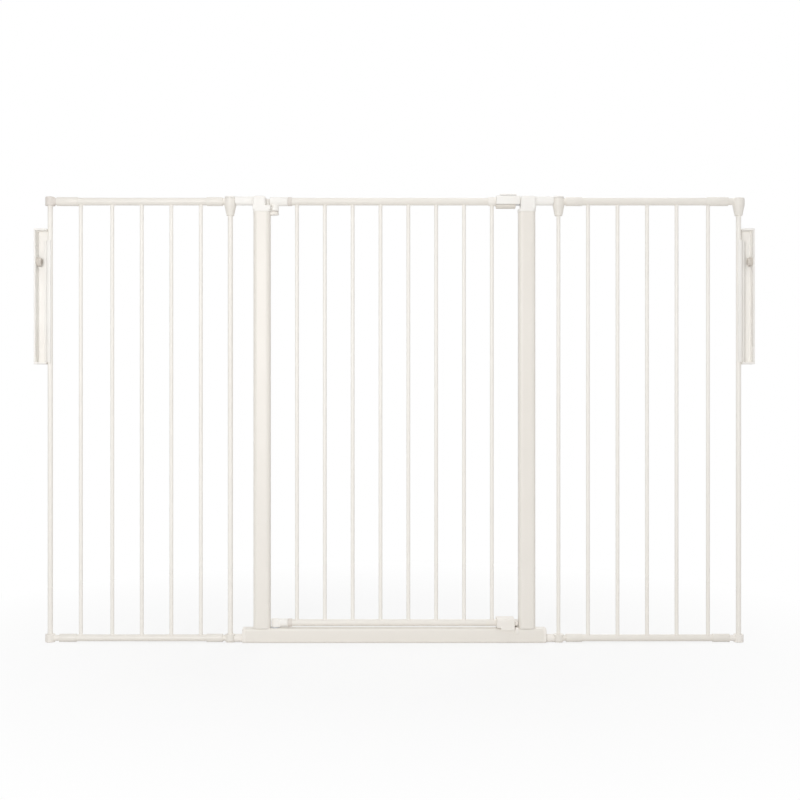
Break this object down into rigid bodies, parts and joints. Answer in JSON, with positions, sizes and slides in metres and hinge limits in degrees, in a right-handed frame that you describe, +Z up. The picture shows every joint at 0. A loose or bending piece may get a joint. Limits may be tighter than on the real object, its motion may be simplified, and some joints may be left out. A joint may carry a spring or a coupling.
{
  "type": "safety gate",
  "caption": "Extra-tall walk-through safety gate: a barred swing door between two posts on a threshold, hinged barred side panels and pivoting wall brackets.",
  "frame": {"origin": "on the floor, midway between the two wall faces and in the plane of the bars", "axes": "+X along the gate towards the latch side, +Y away from the side that the door opens to, +Z up"},
  "size_m": [1.692, 0.04, 1.0555],
  "materials": {
    "enamel": "satin powder coat, warm off-white",
    "moulding": "fine matt moulded plastic, off-white",
    "shade_plastic": "matt moulded plastic, light warm grey",
    "dark_plastic": "matt grey plastic, a little darker than the rest",
    "zinc": "bright zinc-plated steel"
  },
  "bodies": {
    "door_frame": {"threshold": "enamel", "threshold_end_caps": "moulding", "post_left": "enamel", "post_right": "enamel", "post_cap_left": "moulding", "post_cap_right": "moulding", "top_arm_left": "moulding", "top_arm_right": "moulding", "bottom_arm_left": "moulding", "bottom_arm_right": "moulding", "top_hinge_lug": "enamel", "bottom_hinge_pivot": "zinc", "bottom_keeper": "moulding"},
    "hinge_bushings": {"hinge_bushings": "shade_plastic"},
    "door": {"door_top_rail": "enamel", "door_bottom_rail": "enamel", "door_bars": "enamel", "door_top_hinge": "moulding", "door_bottom_hinge": "moulding", "door_sleeve_rings": "shade_plastic", "handle_nose": "moulding", "handle_shell": "moulding", "handle_cover": "moulding", "lock_block": "moulding"},
    "latch": {"latch_bolt": "zinc", "latch_slider": "moulding"},
    "left_panel": {"left_top_rail": "enamel", "left_bottom_rail": "enamel", "left_bars": "enamel", "left_end_bar": "enamel", "left_hinge_bar": "enamel", "left_top_knuckle": "enamel", "left_bottom_knuckle": "enamel", "left_top_corner": "shade_plastic", "left_bottom_corner": "moulding", "left_collars": "enamel"},
    "right_panel": {"right_top_rail": "enamel", "right_bottom_rail": "enamel", "right_bars": "enamel", "right_end_bar": "enamel", "right_hinge_bar": "enamel", "right_top_knuckle": "enamel", "right_bottom_knuckle": "enamel", "right_top_corner": "enamel", "right_bottom_corner": "moulding", "right_collars": "enamel"},
    "left_bracket": {"left_wall_plate": "moulding", "left_bar_jaw": "moulding", "left_plate_knob": "dark_plastic"},
    "right_bracket": {"right_wall_plate": "moulding", "right_bar_jaw": "moulding", "right_plate_knob": "dark_plastic"}
  },
  "joints": [
    {"name": "door_lift", "type": "slide", "parent": "door_frame", "child": "hinge_bushings", "axis": [0, 0, 1], "range_m": [0, 0.008]},
    {"name": "door_swing", "type": "hinge", "parent": "hinge_bushings", "child": "door", "pos_m": [-0.281, 0, 0.5], "axis": [0, 0, 1], "range_deg": [-90, 0]},
    {"name": "latch_slide", "type": "slide", "parent": "door", "child": "latch", "axis": [-1, 0, 0], "range_m": [-0.008, 0]},
    {"name": "left_panel_swing", "type": "hinge", "parent": "door_frame", "child": "left_panel", "pos_m": [-0.3866, 0, 0.5], "axis": [0, 0, 1], "range_deg": [-90, 90]},
    {"name": "right_panel_swing", "type": "hinge", "parent": "door_frame", "child": "right_panel", "pos_m": [0.3866, 0, 0.5], "axis": [0, 0, 1], "range_deg": [-90, 90]},
    {"name": "left_bracket_turn", "type": "hinge", "parent": "left_panel", "child": "left_bracket", "pos_m": [-0.811, 0, 0.8], "axis": [0, 0, 1], "range_deg": [-90, 90]},
    {"name": "right_bracket_turn", "type": "hinge", "parent": "right_panel", "child": "right_bracket", "pos_m": [0.811, 0, 0.8], "axis": [0, 0, 1], "range_deg": [-90, 90]}
  ]
}
